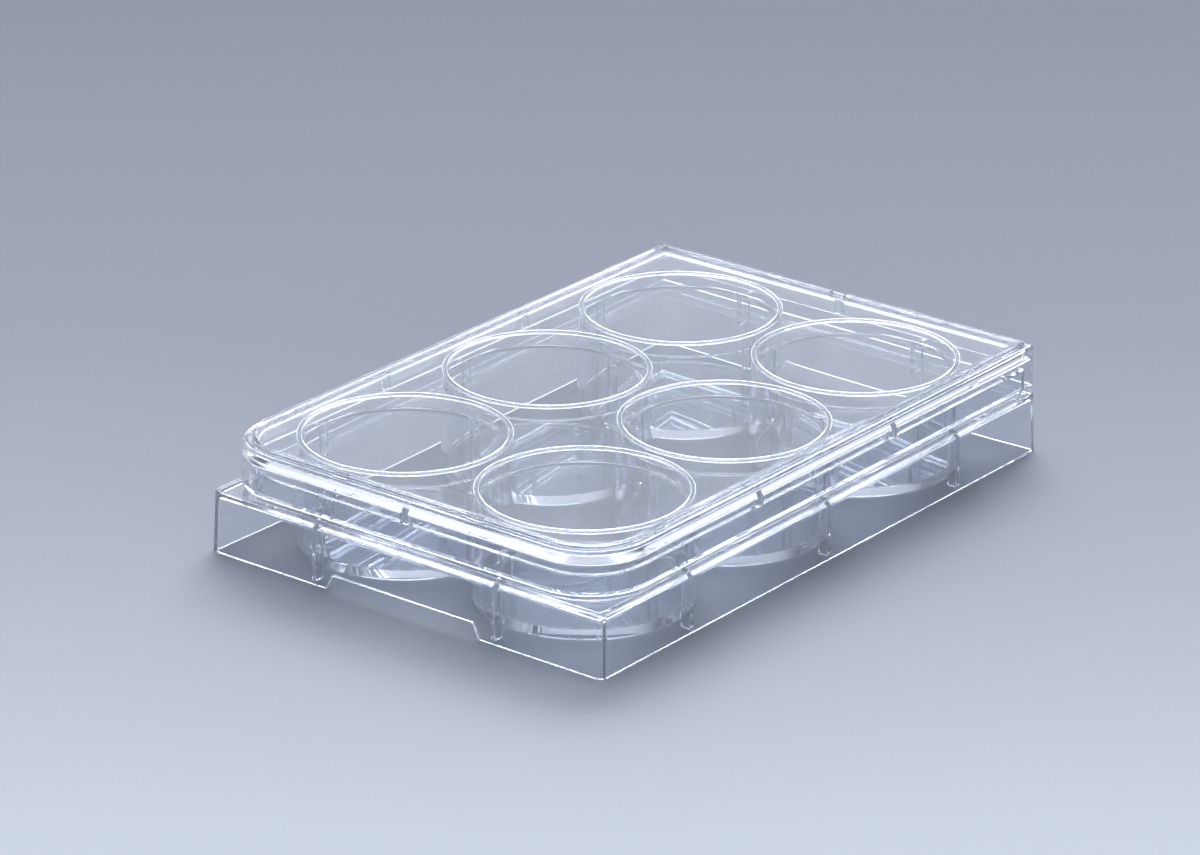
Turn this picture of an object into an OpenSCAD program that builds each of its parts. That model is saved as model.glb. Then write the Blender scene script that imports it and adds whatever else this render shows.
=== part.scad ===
// Six-well culture plate with its loose lid, each moulded in clear polystyrene.
// Lengths are in millimetres and +Z is up. The origin is the middle of the
// footprint, on the surface that the plate stands on. The two ends differ: the
// lid and the upper wall have round corners at -X and square corners at +X.

/* [Skirt] */
// Length of the footprint, along X
foot_len = 127.76; // [126:0.02:130]
// Width of the footprint, along Y
foot_wid = 85.48; // [84:0.02:88]
// Thickness of the skirt's wall
skirt_thk = 1.0; // [0.8:0.1:1.3]
// Outer radius of the four skirt corners
skirt_r = 1.4; // [1:0.1:4]
// Height of the ledge on top of the skirt
ledge_top = 11.3; // [9:0.1:12]
// Thickness of the ledge
ledge_thk = 1.1; // [0.8:0.1:1.6]

/* [Finger notch in each short side] */
// Width of the notch at its top
notch_wid = 30.6; // [20:0.2:34]
// Height of the notch
notch_rise = 2.7; // [1:0.1:4]
// Run of the sloped end of the notch, along Y
notch_slope = 1.4; // [0.5:0.1:3]

/* [Upper wall] */
// Thickness of the upper wall
wall_thk = 1.0; // [0.8:0.1:1.4]
// Height of the top of the upper wall
wall_top = 16.0; // [14:0.1:16.4]
// Outer radius of the upper wall's two square corners
wall_square_r = 1.2; // [0.6:0.1:2]

/* [Wells] */
// Number of wells along X
well_cols = 3; // [2:1:3]
// Number of wells along Y
well_rows = 2; // [1:1:2]
// Distance between the centres of neighbouring wells
well_pitch = 39.12; // [38.6:0.02:39.4]
// Inner diameter of a well
well_bore = 34.8; // [30:0.1:35.4]
// Thickness of a well's side wall
well_thk = 1.25; // [0.9:0.05:1.3]
// Height of the well rims
well_top = 16.6; // [16.5:0.1:17.5]
// Height of the flat floor inside a well
floor_top = 2.2; // [2:0.1:4]
// Thickness of that floor
floor_thk = 1.6; // [1:0.1:1.7]

/* [Ribs] */
// Thickness of the ribs
rib_thk = 1.1; // [0.8:0.1:1.6]
// Height of the lower end of the ribs between neighbouring wells
web_foot = 2.0; // [1:0.1:8]
// Height of the lower end of the ribs inside the skirt
bar_foot = 0.6; // [0.4:0.1:4]

/* [Lid] */
// How far the lid's sides stand back from the footprint, all round
lid_inset = 0.48; // [0.2:0.02:0.8]
// Thickness of the lid's sides
lid_thk = 1.1; // [0.9:0.1:1.3]
// Gap between the lid's sides and the upper wall
lid_gap = 0.45; // [0.3:0.05:0.6]
// Gap between the lid's lower edge and the ledge
lid_lift = 1.35; // [0.5:0.05:2]
// Outer radius of the lid's two round corners
lid_round_r = 12; // [8:0.5:14]
// Outer radius of the lid's two square corners
lid_square_r = 1.4; // [0.6:0.1:2.5]
// Thickness of the lid's flat panel
panel_thk = 1.15; // [0.8:0.05:1.6]
// Air gap between the well rims and the rings under the panel
air_gap = 2.1; // [1:0.1:3]

/* [Rings and stops under the lid] */
// Width of the ring over each well
ring_wid = 0.9; // [0.6:0.1:1.2]
// Height of the rings
ring_rise = 0.6; // [0.3:0.1:1.5]
// Width of the stops by which the lid rests on the upper wall
stop_wid = 1.5; // [1:0.1:3]
// How far a stop reaches over the top of the upper wall
stop_bite = 0.8; // [0.4:0.05:0.9]

/* [Stacking rim on the lid] */
// Distance of the rim from the lid's sides
rim_inset = 1.65; // [1.2:0.05:2.4]
// Thickness of the rim
rim_thk = 1.0; // [0.7:0.1:1.3]
// Height of the rim
rim_rise = 0.75; // [0.4:0.05:1.2]
// Width of the break in the rim, at the square end
rim_break = 3.0; // [1:0.2:6]
// Length of a pad on the rim
pad_len = 3.3; // [2:0.1:5]
// How far a pad stands out from the rim, towards the lid's side
pad_out = 0.35; // [0.1:0.05:0.8]
// Distance of the pads from the middle of a long side
pad_x = 45.9; // [30:0.1:48]
// Distance of the pads from the middle of a short side
pad_y = 14.6; // [8:0.1:20]

/* [Hidden] */
$fn = 120;

CLEAR_PLATE = [0.72, 0.79, 0.90];
CLEAR_LID = [0.86, 0.90, 0.96];
// Run of a cut past the face that it opens
past = 1;
// Least radius inside a corner
fine_r = 0.2;

well_r = well_bore / 2;
well_out_r = well_r + well_thk;
floor_under = floor_top - floor_thk;
ledge_under = ledge_top - ledge_thk;

lid_len = foot_len - 2 * lid_inset;
lid_wid = foot_wid - 2 * lid_inset;
lid_foot = ledge_top + lid_lift;
panel_under = well_top + air_gap + ring_rise;
panel_top = panel_under + panel_thk;

// The upper wall stands inside the lid's sides, with the lid's gap all round
nest = lid_thk + lid_gap;
wall_len = lid_len - 2 * nest;
wall_wid = lid_wid - 2 * nest;
wall_round_r = lid_round_r - nest;

// Places of a row of n wells about the middle, and of the gaps between them
function row(n) = [for (i = [0 : n - 1]) (i - (n - 1) / 2) * well_pitch];
function gaps(n) = [for (i = [1 : 1 : n - 1]) (i - n / 2) * well_pitch];
// Radius of a corner after an offset inwards
function inner(r, by) = max(r - by, fine_r);

// ---- Shared shapes ----

// Rectangle with round corners at -X and square ones at +X
module outline(len, wid, round_r, square_r) {
    x0 = -len / 2;
    x1 = len / 2;
    y1 = wid / 2;
    polygon([
        [x0, round_r - y1], [x0 + round_r, -y1], [x1 - square_r, -y1], [x1, square_r - y1],
        [x1, y1 - square_r], [x1 - square_r, y1], [x0 + round_r, y1], [x0, y1 - round_r]
    ]);
    for (side = [-1, 1]) {
        translate([x0 + round_r, side * (y1 - round_r)]) circle(round_r);
        translate([x1 - square_r, side * (y1 - square_r)]) circle(square_r);
    }
}

// Wall of an even thickness inside such an outline
module ring_wall(len, wid, round_r, square_r, thk, bottom, top) {
    translate([0, 0, bottom]) linear_extrude(top - bottom) difference() {
        outline(len, wid, round_r, square_r);
        outline(len - 2 * thk, wid - 2 * thk, inner(round_r, thk), inner(square_r, thk));
    }
}

// Upright box between two heights, with x and y each given as [from, to]
module upright(x, y, bottom, top) {
    translate([x[0], y[0], bottom]) cube([x[1] - x[0], y[1] - y[0], top - bottom]);
}

// Children placed on each well, with +Z on the well's axis
module at_wells() {
    for (x = row(well_cols), y = row(well_rows)) translate([x, y, 0]) children();
}

// ---- Plate ----

module skirt() {
    ring_wall(foot_len, foot_wid, skirt_r, skirt_r, skirt_thk, 0, ledge_top);
}

// The ledge runs from the skirt in to the inner face of the upper wall
module ledge() {
    translate([0, 0, ledge_under]) linear_extrude(ledge_thk) difference() {
        outline(foot_len, foot_wid, skirt_r, skirt_r);
        outline(wall_len - 2 * wall_thk, wall_wid - 2 * wall_thk,
            inner(wall_round_r, wall_thk), inner(wall_square_r, wall_thk));
    }
}

module upper_wall() {
    ring_wall(wall_len, wall_wid, wall_round_r, wall_square_r, wall_thk, ledge_under, wall_top);
}

// Ribs stand on the centre lines of the wells: webs that tie neighbouring wells
// together, links from the outer wells to the upper wall, and bars down the
// inside of the skirt below each link.
module ribs_along_x() {
    link = wall_len / 2 - wall_thk / 2;
    bar = [wall_len / 2 - wall_thk, foot_len / 2 - skirt_thk / 2];
    web = well_pitch * (well_cols - 1) / 2;
    for (y = row(well_rows)) translate([0, y, 0]) {
        thick = [-rib_thk / 2, rib_thk / 2];
        upright([-web, web], thick, web_foot, wall_top);
        upright([-link, link], thick, ledge_under, wall_top);
        for (turn = [0, 180]) rotate(turn) upright(bar, thick, bar_foot, ledge_top - ledge_thk / 2);
    }
}

module ribs_along_y() {
    link = wall_wid / 2 - wall_thk / 2;
    bar = [wall_wid / 2 - wall_thk, foot_wid / 2 - skirt_thk / 2];
    web = well_pitch * (well_rows - 1) / 2;
    for (x = row(well_cols)) translate([x, 0, 0]) {
        thick = [-rib_thk / 2, rib_thk / 2];
        upright(thick, [-web, web], web_foot, wall_top);
        upright(thick, [-link, link], ledge_under, wall_top);
        for (turn = [0, 180]) rotate(turn) upright(thick, bar, bar_foot, ledge_top - ledge_thk / 2);
    }
}

// Low trapezium cut through both short sides, from the foot upwards
module finger_notch() {
    half = notch_wid / 2;
    rotate([90, 0, 90]) linear_extrude(foot_len + 2 * past, center = true) polygon([
        [-half - notch_slope, 0], [half + notch_slope, 0], [half, notch_rise], [-half, notch_rise]
    ]);
}

module plate() {
    color(CLEAR_PLATE) difference() {
        union() {
            difference() {
                skirt();
                finger_notch();
            }
            ledge();
            upper_wall();
            ribs_along_x();
            ribs_along_y();
            at_wells() translate([0, 0, floor_under])
                cylinder(r = well_out_r, h = well_top - floor_under);
        }
        at_wells() translate([0, 0, floor_top])
            cylinder(r = well_r, h = well_top - floor_top + past);
    }
}

// ---- Lid ----

// One ring over each well, as wide outside as the well itself
module rings() {
    at_wells() translate([0, 0, panel_under - ring_rise]) difference() {
        cylinder(r = well_out_r, h = ring_rise + panel_thk / 2);
        translate([0, 0, -past]) cylinder(r = well_out_r - ring_wid, h = ring_rise + panel_thk + past);
    }
}

// The stops stand inside the lid's sides, opposite the gaps between the wells,
// and their lower ends rest on the top of the upper wall.
module stops() {
    half = stop_wid / 2;
    top = panel_under + panel_thk / 2;
    reach_x = [wall_len / 2 - stop_bite, lid_len / 2 - lid_thk / 2];
    reach_y = [wall_wid / 2 - stop_bite, lid_wid / 2 - lid_thk / 2];
    for (turn = [0, 180]) rotate(turn) {
        for (y = gaps(well_rows)) upright(reach_x, [y - half, y + half], wall_top, top);
        for (x = gaps(well_cols)) upright([x - half, x + half], reach_y, wall_top, top);
    }
}

// Low rim that keeps a stacked plate in place, with eight pads on it
module stacking_rim() {
    foot = panel_top - panel_thk / 2;
    top = panel_top + rim_rise;
    len = lid_len - 2 * rim_inset;
    wid = lid_wid - 2 * rim_inset;
    half = pad_len / 2;
    across_x = [len / 2 - rim_thk, len / 2 + pad_out];
    across_y = [wid / 2 - rim_thk, wid / 2 + pad_out];
    difference() {
        ring_wall(len, wid, inner(lid_round_r, rim_inset), inner(lid_square_r, rim_inset),
            rim_thk, foot, top);
        upright([0, foot_len], [-rim_break / 2, rim_break / 2], panel_top, top + past);
    }
    for (turn = [0, 180]) rotate(turn) for (side = [-1, 1]) {
        upright(across_x, [side * pad_y - half, side * pad_y + half], foot, top);
        upright([side * pad_x - half, side * pad_x + half], across_y, foot, top);
    }
}

module lid() {
    color(CLEAR_LID) {
        ring_wall(lid_len, lid_wid, lid_round_r, lid_square_r, lid_thk, lid_foot, panel_top);
        translate([0, 0, panel_under]) linear_extrude(panel_thk)
            outline(lid_len, lid_wid, lid_round_r, lid_square_r);
        rings();
        stops();
        stacking_rim();
    }
}

plate();
lid();
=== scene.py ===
import math

import bpy
import numpy as np
from mathutils import Matrix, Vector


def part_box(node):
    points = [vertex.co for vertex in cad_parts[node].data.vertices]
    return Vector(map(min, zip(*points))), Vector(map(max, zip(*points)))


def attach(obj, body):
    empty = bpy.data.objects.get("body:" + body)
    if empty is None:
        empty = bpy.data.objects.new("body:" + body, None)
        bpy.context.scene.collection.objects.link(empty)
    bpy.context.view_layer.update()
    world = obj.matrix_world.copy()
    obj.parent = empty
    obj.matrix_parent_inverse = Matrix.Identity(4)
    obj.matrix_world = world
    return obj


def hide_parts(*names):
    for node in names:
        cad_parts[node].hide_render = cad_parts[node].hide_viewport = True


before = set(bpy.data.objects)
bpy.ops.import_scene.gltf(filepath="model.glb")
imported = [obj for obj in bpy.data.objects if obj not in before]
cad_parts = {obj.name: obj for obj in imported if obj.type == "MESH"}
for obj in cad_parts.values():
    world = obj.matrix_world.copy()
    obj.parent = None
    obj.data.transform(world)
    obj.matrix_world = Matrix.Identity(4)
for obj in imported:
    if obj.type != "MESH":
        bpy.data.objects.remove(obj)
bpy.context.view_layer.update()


# Skirt, ledge and upper wall: the outer shell of the plate, in clear polystyrene.
# It is one wall that steps in at the ledge, moulded with a slight draft and small
# radii along its edges. A finger notch is left in the foot of each short side.

mm = 0.001
plate_low, plate_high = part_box("plate")
footprint = np.array([plate_high.x - plate_low.x, plate_high.y - plate_low.y])
ledge_top, ledge_under = 11.3 * mm, 10.2 * mm
skirt_draft, skirt_wall, skirt_r, skirt_r_in = 0.38 * mm, 1.0 * mm, 1.4 * mm, 0.4 * mm
skirt_in = skirt_draft + skirt_wall
wall_in, wall_thick, wall_top = 2.03 * mm, 1.0 * mm, 16.0 * mm
wall_back = wall_in + wall_thick
wall_round, wall_square, wall_square_in = 10.45 * mm, 1.2 * mm, 0.3 * mm
slope_run, slope_rise = 0.7 * mm, 0.15 * mm
notch_half, notch_slope, notch_rise = 15.3 * mm, 1.4 * mm, 2.7 * mm
foot_zone = 1 * mm


def eased(profile, steps=3):
    """Rounds the corners of a closed profile whose rows end with an edge radius.

    A corner C becomes the curve (1-s)^2 A + 2s(1-s) C + s^2 B, where A and B lie on
    the profile one radius before and after it. A row with no radius stays a point."""
    p = np.asarray(profile, float)
    c, radius = p[:, :-1], p[:, -1:]

    def toward(other):
        return (other - c) / np.linalg.norm((other - c)[:, :2], axis=1, keepdims=True)

    a, b = c + radius * toward(np.roll(c, 1, 0)), c + radius * toward(np.roll(c, -1, 0))
    s = np.linspace(0, 1, steps + 1)[None, :, None]
    curve = (1 - s) ** 2 * a[:, None] + 2 * s * (1 - s) * c[:, None] + s**2 * b[:, None]
    return curve[(radius > 0) | (np.arange(steps + 1) == 0)]


def boxed(size, profile, along, steps=10):
    """Surface of a profile carried round a rectangle with round corners: rows x points x 3.

    A profile row gives how far inside the rectangle its loop lies, its height, and the
    radii of its corners at -X and at +X. The loop runs anticlockwise from the -Y side:
    straight through the side's stations, then round a quarter circle, centre + r (cos, sin)."""
    inset, height, r_low, r_high = np.asarray(profile, float).T[:, :, None]
    half = np.asarray(size, float)[:, None, None] / 2 - inset
    facing = np.array([(0, -1), (1, 0), (0, 1), (-1, 0)])
    quarter = np.linspace(0, math.pi / 2, steps + 1)[None]
    loop = []
    for side in range(4):
        out, run = facing[side], facing[(side + 1) % 4]
        far_out, far_run = (half[0], half[1]) if out[0] else (half[1], half[0])
        r = (r_high, r_high, r_low, r_low)[side]
        station = np.asarray(along[1 if out[0] else 0])[None]
        a = np.concatenate([far_out + 0 * station, far_out - r + r * np.cos(quarter)], 1)
        b = np.concatenate([0 * far_run + station, far_run - r + r * np.sin(quarter)], 1)
        loop.append(a[..., None] * out + b[..., None] * run)
    xy = np.concatenate(loop, 1)
    return np.concatenate([xy, height[..., None] + 0 * xy[..., :1]], 2)


def shell(name, surfaces, capped):
    """One mesh object from grids of closed loops: each row is joined to the next by quads.

    A capped grid ends in a flat face at its first and last row. Otherwise its last row
    is joined to its first, as on a ring."""
    points, faces, used = [], [], 0
    for grid in surfaces:
        rows, count = grid.shape[:2]
        index = used + np.arange(rows * count).reshape(rows, count)
        low, high = (index[:-1], index[1:]) if capped else (index, np.roll(index, -1, 0))
        quads = np.stack([low, np.roll(low, -1, 1), np.roll(high, -1, 1), high], -1)
        faces += quads.reshape(-1, 4).tolist()
        faces += [index[0, ::-1].tolist(), index[-1].tolist()] if capped else []
        points.append(grid.reshape(-1, 3))
        used += rows * count
    mesh = bpy.data.meshes.new(name)
    mesh.from_pydata(np.concatenate(points), [], faces)
    piece = bpy.data.objects.new(name, mesh)
    bpy.context.scene.collection.objects.link(piece)
    return piece


def both_sides(places):
    """Stations along a side: the middle, and each place on either side of it."""
    return sorted([0] + [s * place for s in (-1, 1) for place in places])


# inset, height, corner radius at -X and at +X, edge radius; a row with no edge
# radius keeps the flat face beside an edge level
frame_profile = eased([
    # outside of the skirt, and the ledge
    (0, 0, skirt_r, skirt_r, 0.3 * mm),
    (skirt_draft, ledge_top, skirt_r, skirt_r, 0.35 * mm),
    (skirt_draft + 0.5 * mm, ledge_top, skirt_r - 0.5 * mm, skirt_r - 0.5 * mm, 0),
    (wall_in - 0.3 * mm, ledge_top, wall_round + 0.3 * mm, wall_square + 0.3 * mm, 0),
    # outside, top and inside of the upper wall
    (wall_in, ledge_top, wall_round, wall_square, 0.25 * mm),
    (wall_in, wall_top - slope_rise, wall_round, wall_square, 0.12 * mm),
    (wall_in + slope_run, wall_top, wall_round - slope_run, 0.5 * mm, 0.08 * mm),
    (wall_back, wall_top, wall_round - wall_thick, wall_square_in, 0.15 * mm),
    (wall_back, ledge_under, wall_round - wall_thick, wall_square_in, 0.3 * mm),
    # underside of the ledge, and inside of the skirt
    (wall_back - 0.4 * mm, ledge_under, wall_round - 0.6 * mm, 0.5 * mm, 0),
    (skirt_in + 0.8 * mm, ledge_under, 0.3 * mm, 0.3 * mm, 0),
    (skirt_in, ledge_under, skirt_r_in, skirt_r_in, 0.7 * mm),
    (skirt_wall, 0, skirt_r_in, skirt_r_in, 0.3 * mm),
])
long_side = np.linspace(-50, 50, 11) * mm
short_side = both_sides([8 * mm, notch_half, notch_half + notch_slope, 20 * mm, 30 * mm])
frame_grid = boxed(footprint, frame_profile, (long_side, short_side))
# the notch lifts the foot on both short sides: a trapezium of its rise, along Y
x, y, z = frame_grid[..., 0], frame_grid[..., 1], frame_grid[..., 2]
on_end = (np.abs(x) > footprint[0] / 2 - skirt_in) & (z < foot_zone)
notch = np.clip((notch_half + notch_slope - np.abs(y)) / notch_slope, 0, 1)
lift = notch_rise * notch * on_end
frame_grid[..., 0] -= np.sign(x) * skirt_draft * lift / ledge_top
frame_grid[..., 2] += lift
outer_frame = shell("outer_frame", [frame_grid], capped=False)


# Wells: six open cups with flat floors, in one piece with the plate.
# A well's side wall is a plain round tube with a slight draft. Its floor is a flat
# disc, and the edges are rounded by small radii, with a small chamfer inside the rim.

pitch, bore_r, well_out_r = 39.12 * mm, 17.4 * mm, 18.65 * mm
well_top, floor_top, floor_under = plate_high.z, 2.2 * mm, 0.6 * mm
draft_out, draft_in, rim_chamfer, flat_r = 0.12 * mm, 0.1 * mm, 0.4 * mm, 12 * mm
well_places = [(i * pitch, j * pitch) for i in (-1, 0, 1) for j in (-0.5, 0.5)]


def turned(profile, place, steps=120):
    """Surface of revolution about an upright axis at a place: (r cos a, r sin a, height),
    for each row (r, height) of the profile and each angle a."""
    angle = np.linspace(0, 2 * math.pi, steps, endpoint=False)
    r, height = np.asarray(profile, float).T[:, :, None]
    x, y = place[0] + r * np.cos(angle), place[1] + r * np.sin(angle)
    return np.stack([x, y, height + 0 * angle], -1)


# radius, height, edge radius
well_profile = eased([
    (flat_r, floor_under, 0),
    (well_out_r - draft_out, floor_under, 0.5 * mm),
    (well_out_r, well_top, 0.15 * mm),
    (bore_r + rim_chamfer, well_top, 0.1 * mm),
    (bore_r, well_top - rim_chamfer, 0.1 * mm),
    (bore_r - draft_in, floor_top, 0.3 * mm),
    (flat_r, floor_top, 0),
], steps=4)
wells = shell("wells", [turned(well_profile, place) for place in well_places], capped=True)


# Ribs: thin upright webs of the same moulding, on the centre lines of the wells.
# They tie neighbouring wells together and the outer wells to the upper wall, and
# a bar below each outer one stiffens the skirt. Each runs on into what it joins.

rib, overlap = 1.1 * mm, 0.5 * mm
rib_top = wall_top - 0.12 * mm
inner_web = (2.0 * mm, rib_top)
outer_web = (ledge_under + 0.05 * mm, rib_top)
bar = (0.6 * mm, ledge_under + overlap)


def slab(x, y, z, r=0.2 * mm):
    """An upright block with rounded edges, as a grid of loops for shell(). Each of x, y
    and z gives its two ends, and its first and last loop lie inside the end faces."""
    q = r / 2
    rows = eased([
        (2 * r, z[0], q, q, 0),
        (0, z[0], r, r, r),
        (0, z[1], r, r, r),
        (2 * r, z[1], q, q, 0),
    ])
    grid = boxed((x[1] - x[0], y[1] - y[0]), rows, ([0], [0]), steps=3)
    return grid + np.array([(x[0] + x[1]) / 2, (y[0] + y[1]) / 2, 0])


def ends(side, near, far):
    """The two ends of a block on one side of the middle, in rising order."""
    return sorted((side * near, side * far))


half_x, half_y = footprint / 2
webs, bars = [], []
for x in (-1, 0, 1):
    across = (x * pitch - rib / 2, x * pitch + rib / 2)
    for s in (-1, 1):
        edge = ends(s, pitch / 2 + well_out_r - overlap, half_y - wall_in - overlap)
        foot = ends(s, half_y - wall_back, half_y - overlap)
        webs.append(slab(across, edge, outer_web))
        bars.append(slab(across, foot, bar))
    gap = (well_out_r - pitch / 2 - overlap, pitch / 2 - well_out_r + overlap)
    webs.append(slab(across, gap, inner_web))
for y in (-0.5, 0.5):
    across = (y * pitch - rib / 2, y * pitch + rib / 2)
    for s in (-1, 1):
        edge = ends(s, pitch + well_out_r - overlap, half_x - wall_in - overlap)
        foot = ends(s, half_x - wall_back, half_x - overlap)
        webs.append(slab(edge, across, outer_web))
        bars.append(slab(foot, across, bar))
        gap = ends(s, well_out_r - overlap, pitch - well_out_r + overlap)
        webs.append(slab(gap, across, inner_web))


def moulded(name, parts, crisp_from=math.radians(40)):
    """One closed body, the union of overlapping shells. It is smooth, but for the edges
    that turn by more than an angle."""
    body = parts[0]
    body.name = name
    for part in parts[1:]:
        join = body.modifiers.new("join", "BOOLEAN")
        join.operation, join.solver, join.object = "UNION", "MANIFOLD", part
    bpy.context.view_layer.update()
    joined = body.evaluated_get(bpy.context.evaluated_depsgraph_get())
    mesh = bpy.data.meshes.new_from_object(joined)
    mesh.name = name
    body.modifiers.clear()
    body.data = mesh
    for part in parts[1:]:
        bpy.data.objects.remove(part)
    mesh.polygons.foreach_set("use_smooth", np.ones(len(mesh.polygons), bool))
    mesh.set_sharp_from_angle(angle=crisp_from)
    normals = body.modifiers.new("flat faces stay flat", "WEIGHTED_NORMAL")
    normals.keep_sharp = True
    return body


ribs = [shell("webs", webs, capped=True), shell("bars", bars, capped=True)]
plate = moulded("plate_moulding", [outer_frame, wells, *ribs])


# Clear polystyrene: colourless and glossy, and it bends light a little more than
# glass does. Its faces carry the faint waves and the fine haze of moulded plastic.

tint, bending = (0.93, 0.943, 0.967), 1.59
haze, haze_patches = 0.02, 60
passing, passing_grazing = (0.9, 0.915, 0.94), (0.03, 0.03, 0.03)
passing_aslant = ((0.3, 0.98), (0.65, 0.6))  # how far aslant, and the share of passing


def moulding_marks():
    """Group: slow waves, as a height for Bump, and soft patches of haze, as a roughness."""
    group = bpy.data.node_groups.new("moulding_marks", "ShaderNodeTree")
    sockets = {"Wave size": "INPUT", "Haze": "INPUT", "Height": "OUTPUT", "Roughness": "OUTPUT"}
    for name, way in sockets.items():
        group.interface.new_socket(name, in_out=way, socket_type="NodeSocketFloat")
    new, link = group.nodes.new, group.links.new
    given, out, place = new("NodeGroupInput"), new("NodeGroupOutput"), new("ShaderNodeTexCoord")
    waves, patches = new("ShaderNodeTexNoise"), new("ShaderNodeTexNoise")
    share = new("ShaderNodeMath")
    waves.inputs["Detail"].default_value = 0.0
    patches.inputs["Scale"].default_value = haze_patches
    share.operation = "MULTIPLY"
    link(place.outputs["Object"], waves.inputs["Vector"])
    link(place.outputs["Object"], patches.inputs["Vector"])
    link(given.outputs["Wave size"], waves.inputs["Scale"])
    link(patches.outputs["Fac"], share.inputs[0])
    link(given.outputs["Haze"], share.inputs[1])
    link(waves.outputs["Fac"], out.inputs["Height"])
    link(share.outputs[0], out.inputs["Roughness"])
    return group


marks = moulding_marks()


def clear_polystyrene(name, wave_size, wave_depth):
    """Clear plastic that mirrors and bends what is seen in it. Light on its way to the
    table goes straight through each face, dimmed to the colour in passing: the least
    where it meets the face head on, and nearly all of it where it grazes it."""
    material = bpy.data.materials.new(name)
    material.use_nodes = True
    nodes, link = material.node_tree.nodes, material.node_tree.links.new
    nodes.clear()
    out, mix = nodes.new("ShaderNodeOutputMaterial"), nodes.new("ShaderNodeMixShader")
    plastic, passed = nodes.new("ShaderNodeBsdfPrincipled"), nodes.new("ShaderNodeBsdfTransparent")
    path, either = nodes.new("ShaderNodeLightPath"), nodes.new("ShaderNodeMath")
    surface, bump = nodes.new("ShaderNodeGroup"), nodes.new("ShaderNodeBump")
    facing, share = nodes.new("ShaderNodeLayerWeight"), nodes.new("ShaderNodeValToRGB")
    surface.node_tree = marks
    surface.inputs["Wave size"].default_value = wave_size
    surface.inputs["Haze"].default_value = haze
    bump.inputs["Distance"].default_value = wave_depth
    plastic.inputs["Base Color"].default_value = (*tint, 1)
    plastic.inputs["Transmission Weight"].default_value = 1.0
    plastic.inputs["IOR"].default_value = bending
    share.color_ramp.elements[0].color = (*passing, 1)
    share.color_ramp.elements[1].color = (*passing_grazing, 1)
    for slant, part in passing_aslant:
        share.color_ramp.elements.new(slant).color = (*(part * p for p in passing), 1)
    either.operation = "MAXIMUM"
    link(facing.outputs["Facing"], share.inputs["Fac"])
    link(share.outputs["Color"], passed.inputs["Color"])
    link(surface.outputs["Height"], bump.inputs["Height"])
    link(bump.outputs["Normal"], plastic.inputs["Normal"])
    link(surface.outputs["Roughness"], plastic.inputs["Roughness"])
    link(path.outputs["Is Shadow Ray"], either.inputs[0])
    link(path.outputs["Is Diffuse Ray"], either.inputs[1])
    link(either.outputs[0], mix.inputs["Fac"])
    link(plastic.outputs["BSDF"], mix.inputs[1])
    link(passed.outputs["BSDF"], mix.inputs[2])
    link(mix.outputs["Shader"], out.inputs["Surface"])
    return material


plate.data.materials.clear()
plate.data.materials.append(
    clear_polystyrene("plate_polystyrene", wave_size=90, wave_depth=0.01 * mm))
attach(plate, "root")
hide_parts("plate")


# Lid: one loose moulding of the same plastic, set down over the upper wall.
# A flat panel with sides all round, a low stacking rim with eight small pads on its
# outside, and a break in the rim at the square end.

lid_low, lid_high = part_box("lid")
lid_size = np.array([lid_high.x - lid_low.x, lid_high.y - lid_low.y])
lid_wall, lid_draft = 1.1 * mm, 0.15 * mm
lid_round, lid_square = 12 * mm, 1.4 * mm
least_round, least_square = 3 * mm, 0.25 * mm
panel_under, panel_top, panel_flat_in = 19.3 * mm, 20.45 * mm, 6 * mm
foot_run, foot_rise = 0.45 * mm, 0.5 * mm
gusset_run, gusset_rise = 1.9 * mm, 1.5 * mm
rim_in, rim_wall = 1.65 * mm, 1.0 * mm
rim_back = rim_in + rim_wall
pad_x, pad_y, pad_half, pad_out = 45.9 * mm, 14.6 * mm, 1.65 * mm, 0.35 * mm
break_half, break_depth, ramp_run = 1.5 * mm, 0.96, 0.1 * mm
hair = 0.01 * mm


def around(inset, height, edge=0.0):
    """A row of the lid's profile. Its corners have the same centres as the lid's outer
    ones, down to a least radius."""
    at_round = max(lid_round - inset, least_round)
    at_square = max(lid_square - inset, least_square)
    return inset, height, at_round, at_square, edge


lid_profile = eased([
    # underside of the panel, with a gusset along the corner
    around(panel_flat_in, panel_under),
    around(lid_wall + gusset_run, panel_under, 0.3 * mm),
    around(lid_wall, panel_under - gusset_rise, 0.25 * mm),
    # inside, chamfered foot and outside of the sides
    around(lid_wall, lid_low.z + foot_rise, 0.08 * mm),
    around(lid_wall - foot_run, lid_low.z, 0.08 * mm),
    around(0, lid_low.z, 0.12 * mm),
    around(lid_draft, panel_top, 0.8 * mm),
    # top of the panel, with the stacking rim
    around(1.1 * mm, panel_top),
    around(rim_in, panel_top, 0.15 * mm),
    around(rim_in, lid_high.z, 0.2 * mm),
    around(rim_back, lid_high.z, 0.2 * mm),
    around(rim_back, panel_top, 0.15 * mm),
    around(rim_back + 0.4 * mm, panel_top),
    around(panel_flat_in, panel_top),
], steps=4)


def pad_edges(centre):
    """Stations at the two ends of a pad, and where its ends have sloped down to the rim."""
    return [centre + e for e in (-pad_half - ramp_run, -pad_half, pad_half, pad_half + ramp_run)]


side_x = both_sides(pad_edges(pad_x) + [10 * mm, 20 * mm, 30 * mm])
side_y = both_sides(pad_edges(pad_y) + [break_half, break_half + ramp_run, 8 * mm, 22 * mm])
lid_grid = boxed(lid_size, lid_profile, (side_x, side_y), steps=16)


def span(value, centre, half):
    """1 within half of centre, 0 from one ramp's run further out, and a straight slope between."""
    return np.clip((half + ramp_run - np.abs(value - centre)) / ramp_run, 0, 1)


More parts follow.
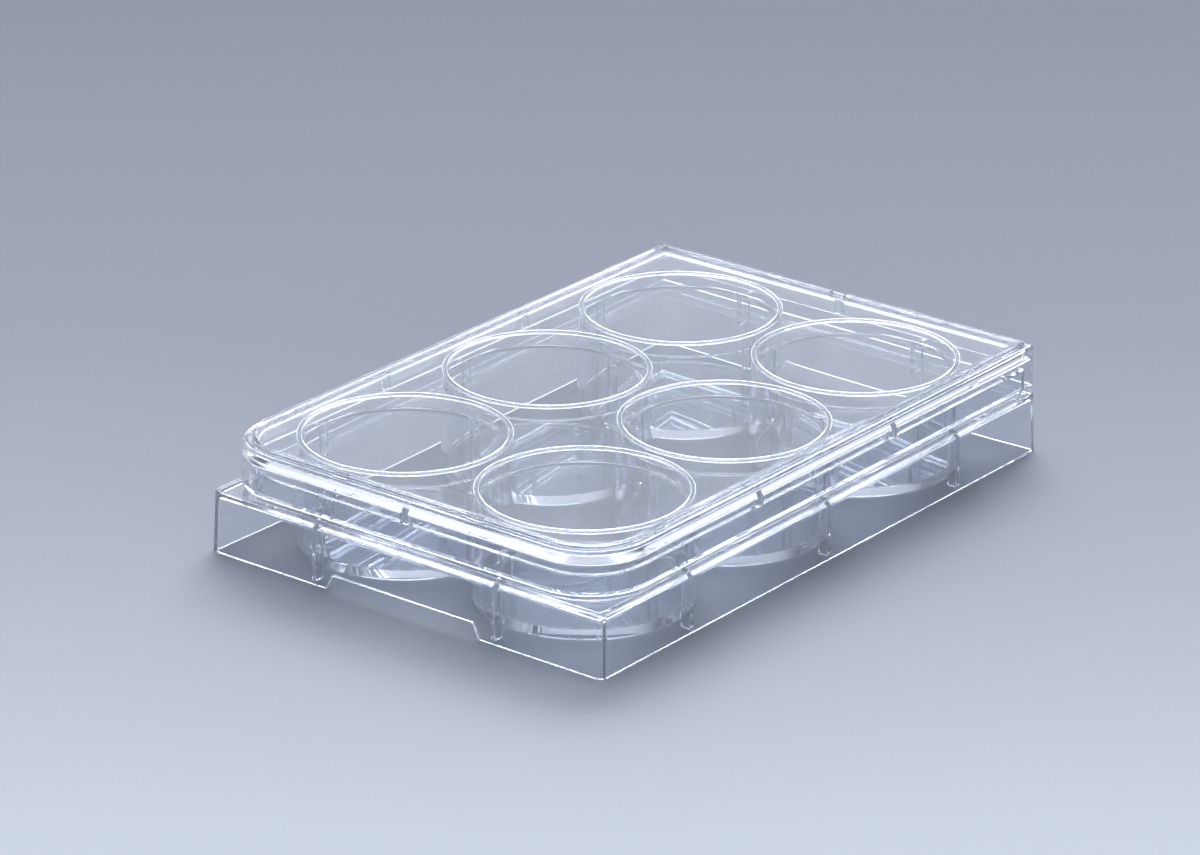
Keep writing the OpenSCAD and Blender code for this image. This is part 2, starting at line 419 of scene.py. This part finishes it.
# a pad pushes the rim's outer face out, and the break sinks the rim at the +X side
x, y, z = (lid_grid[..., k].copy() for k in range(3))
inset = lid_profile[:, 0][:, None]
on_x_side = np.isclose(np.abs(x), lid_size[0] / 2 - inset, atol=1e-7)
on_y_side = np.isclose(np.abs(y), lid_size[1] / 2 - inset, atol=1e-7)
rim_front = (inset > rim_in - 0.15 * mm) & (inset < rim_in + rim_wall / 2)
push = pad_out * (rim_front & (z > panel_top - hair))
lid_grid[..., 0] += np.sign(x) * push * on_x_side * span(np.abs(y), pad_y, pad_half)
lid_grid[..., 1] += np.sign(y) * push * on_y_side * span(np.abs(x), pad_x, pad_half)
broken = span(y, 0, break_half) * (x > 0) * on_x_side * (z > panel_top)
lid_grid[..., 2] -= break_depth * broken * (z - panel_top)
lid_body = shell("lid_body", [lid_grid], capped=True)


# Rings and stops under the panel, in one piece with the lid.
# A low ring stands over each well, and keeps drops on the panel from running across.
# The six stops at the sides rest on the plate's upper wall and carry the lid.

ring_wall, ring_rise = 0.9 * mm, 0.6 * mm
ring_inner, bead = well_out_r - ring_wall, 0.49 * ring_wall
root = panel_under + 0.4 * mm
stop_half, stop_foot, bite = 0.75 * mm, wall_top + 0.02 * mm, 0.8 * mm

# radius, height, edge radius
ring_profile = eased([
    (well_out_r, panel_under - ring_rise, bead),
    (well_out_r, root, 0),
    (ring_inner, root, 0),
    (ring_inner, panel_under - ring_rise, bead),
], steps=5)
rings = shell("rings", [turned(ring_profile, place) for place in well_places], capped=False)

lid_half_x, lid_half_y = lid_size / 2
stops = []
for s in (-1, 1):
    reach = ends(s, half_x - wall_in - bite, lid_half_x - overlap)
    stops.append(slab(reach, (-stop_half, stop_half), (stop_foot, root)))
    reach = ends(s, half_y - wall_in - bite, lid_half_y - overlap)
    for x in (-pitch / 2, pitch / 2):
        stops.append(slab((x - stop_half, x + stop_half), reach, (stop_foot, root)))

lid = moulded("lid_moulding", [lid_body, rings, shell("stops", stops, capped=True)])
lid.data.materials.clear()
lid.data.materials.append(
    clear_polystyrene("lid_polystyrene", wave_size=60, wave_depth=0.003 * mm))
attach(lid, "root")
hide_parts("lid")


# Table: a wide flat sheet of matt paper that the plate stands on.
# It is pale blue-grey, with painted shade: its colour grows slowly darker from the near side
# towards the back, where the light falls off.

table_half = 4
away = math.radians(37.82)  # the way to the back, as a turn about Z from +X
fade_from, fade_to = -0.135, 0.287
# paper colour from the near side to the back; the darkening towards the back is painted shade of
# the light falling off
painted_falloff_near, painted_falloff_far = (0.752, 0.771, 0.81), (0.308, 0.313, 0.354)
painted_falloff_between = ((0.24, (0.547, 0.559, 0.611)), (0.5, (0.417, 0.427, 0.479)))


def heading(turn, tilt=0.0):
    """Unit vector at a turn about Z from +X and a tilt over the horizon:
    (cos turn cos tilt, sin turn cos tilt, sin tilt)."""
    level = math.cos(tilt)
    return np.array([math.cos(turn) * level, math.sin(turn) * level, math.sin(tilt)])


table_mesh = bpy.data.meshes.new("table")
corners = [(x * table_half, y * table_half, 0) for x, y in ((-1, -1), (1, -1), (1, 1), (-1, 1))]
table_mesh.from_pydata(corners, [], [(0, 1, 2, 3)])
table = bpy.data.objects.new("table", table_mesh)
bpy.context.scene.collection.objects.link(table)
paper = bpy.data.materials.new("table_paper")
paper.use_nodes = True
nodes, link = paper.node_tree.nodes, paper.node_tree.links.new
matt = nodes["Principled BSDF"]
matt.inputs["Roughness"].default_value = 0.9
matt.inputs["Specular IOR Level"].default_value = 0.1
place, along = nodes.new("ShaderNodeTexCoord"), nodes.new("ShaderNodeVectorMath")
reach, shade = nodes.new("ShaderNodeMapRange"), nodes.new("ShaderNodeValToRGB")
along.operation = "DOT_PRODUCT"
along.inputs[1].default_value = tuple(heading(away))
reach.inputs["From Min"].default_value = fade_from
reach.inputs["From Max"].default_value = fade_to
link(place.outputs["Object"], along.inputs[0])
link(along.outputs["Value"], reach.inputs["Value"])
link(reach.outputs["Result"], shade.inputs["Fac"])
link(shade.outputs["Color"], matt.inputs["Base Color"])
# the ramp paints the shade of the light falling off towards the back into the paper's colour
ramp = shade.color_ramp
ramp.elements[0].color, ramp.elements[1].color = (*painted_falloff_near, 1), (*painted_falloff_far, 1)
for position, colour in painted_falloff_between:
    ramp.elements.new(position).color = (*colour, 1)
table_mesh.materials.append(paper)


# Light: a dim room with two soft patches of bright sky behind the plate, and three
# large soft boxes, above and low behind it and low in front of it.

daylight = (0.84, 0.895, 1.0)
lamp_distance = 3.0
# tilt over the horizon, cosine off its middle where a patch starts and where it is
# full, strength outside it and in it
sky_patches = ((20, 0.8, 0.96, 0.17, 1.0), (60, 0.79, 0.86, 0.0, 1.2))

world = bpy.data.worlds.new("room")
bpy.context.scene.world = world
world.use_nodes = True
nodes, link = world.node_tree.nodes, world.node_tree.links.new
air, total = nodes.new("ShaderNodeTexCoord"), nodes.new("ShaderNodeMath")
for k, (tilt, edge, full, dim, bright) in enumerate(sky_patches):
    toward, glow = nodes.new("ShaderNodeVectorMath"), nodes.new("ShaderNodeMapRange")
    toward.operation = "DOT_PRODUCT"
    toward.inputs[1].default_value = tuple(heading(away, math.radians(tilt)))
    glow.interpolation_type = "SMOOTHSTEP"
    limits = {"From Min": edge, "From Max": full, "To Min": dim, "To Max": bright}
    for socket, value in limits.items():
        glow.inputs[socket].default_value = value
    link(air.outputs["Generated"], toward.inputs[0])
    link(toward.outputs["Value"], glow.inputs["Value"])
    link(glow.outputs["Result"], total.inputs[k])
background = nodes["Background"]
background.inputs["Color"].default_value = (*daylight, 1)
link(total.outputs[0], background.inputs["Strength"])


def set_at(thing, place, right, up, back):
    """Puts a lamp or a camera at a place, turned so that its own axes are right, up and back."""
    turn = Matrix(np.column_stack([right, up, back]).tolist()).to_4x4()
    thing.matrix_world = Matrix.Translation(tuple(place)) @ turn


def soft_box(name, elevation, turn, size, radiance):
    """A rectangular lamp that faces the plate, at an elevation and a turn from straight
    behind it. Its power is its radiance x pi x its area."""
    lamp = bpy.data.lights.new(name, "AREA")
    lamp.shape, lamp.size, lamp.size_y = "RECTANGLE", size[0], size[1]
    lamp.energy, lamp.color = radiance * math.pi * size[0] * size[1], daylight
    holder = bpy.data.objects.new(name, lamp)
    bpy.context.scene.collection.objects.link(holder)
    place = lamp_distance * heading(away + math.radians(turn), math.radians(elevation))
    back = place / np.linalg.norm(place)
    right = np.cross((0, 0, 1), back)
    right /= np.linalg.norm(right)
    set_at(holder, place, right, np.cross(back, right), back)


soft_box("box_above", 42, -6, (2.0, 1.1), 8.0)
soft_box("strip_low", 14, 0, (1.6, 0.42), 2.4)
soft_box("box_front", 12, -160, (3.6, 1.0), 2.2)

# light is led on inside the clear walls by many reflections before it comes out
bpy.context.scene.cycles.max_bounces = 96
bpy.context.scene.cycles.transmission_bounces = 64
bpy.context.scene.cycles.glossy_bounces = 80
bpy.context.scene.cycles.transparent_max_bounces = 48


# Camera: a long lens that looks down on the plate from over its round corner, with
# a very slight roll.

lens = bpy.data.cameras.new("camera")
lens.sensor_width, lens.lens = 36.0, 154.04
lens.clip_start, lens.clip_end = 0.01, 50
camera = bpy.data.objects.new("camera", lens)
bpy.context.scene.collection.objects.link(camera)
stand = (-0.6630, -0.5070, 0.3523)
down, roll = math.radians(22.09), math.radians(0.41)
look = heading(away, -down)
right = np.cross(look, (0, 0, 1))
right /= np.linalg.norm(right)
up = np.cross(right, look)
rolled_right = right * math.cos(roll) + up * math.sin(roll)
rolled_up = up * math.cos(roll) - right * math.sin(roll)
set_at(camera, stand, rolled_right, rolled_up, -look)
bpy.context.scene.camera = camera
bpy.context.scene.view_settings.view_transform = "Standard"
